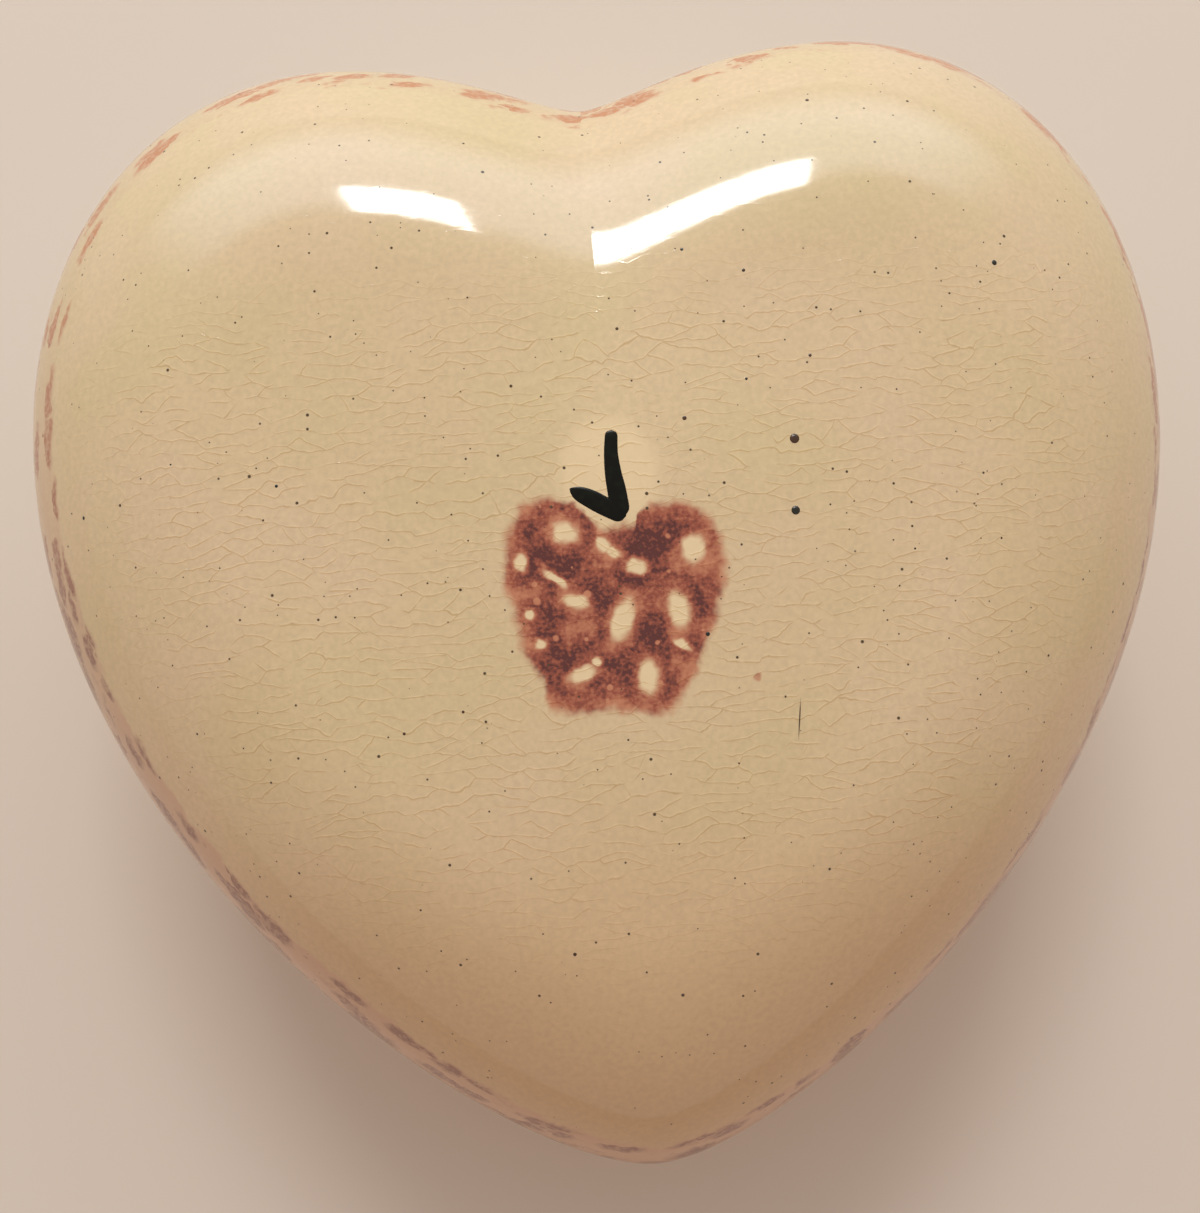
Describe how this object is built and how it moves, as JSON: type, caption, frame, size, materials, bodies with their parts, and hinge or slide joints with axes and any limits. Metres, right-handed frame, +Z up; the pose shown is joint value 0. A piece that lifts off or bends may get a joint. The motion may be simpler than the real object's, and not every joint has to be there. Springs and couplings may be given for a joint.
{
  "type": "heart-shaped trinket box",
  "caption": "Heart-shaped trinket box in glazed ceramic: a walled base on a foot ring and a domed lid with a locating flange that lifts off.",
  "frame": {"origin": "on the surface that the box stands on, under the middle of its bounding box", "axes": "+Z up, +Y towards the heart's cleft, +X to the right seen from above with the cleft at the top"},
  "size_m": [0.115, 0.113, 0.0509],
  "materials": {
    "cream_glaze": "gloss",
    "black_brushwork": "gloss",
    "iron_speck": "gloss"
  },
  "bodies": {
    "base": {"base": "cream_glaze"},
    "lid": {"lid": "cream_glaze"}
  },
  "joints": [
    {"name": "lid_lift", "type": "slide", "parent": "base", "child": "lid", "axis": [0, 0, 1], "range_m": [0, 0.06]}
  ]
}
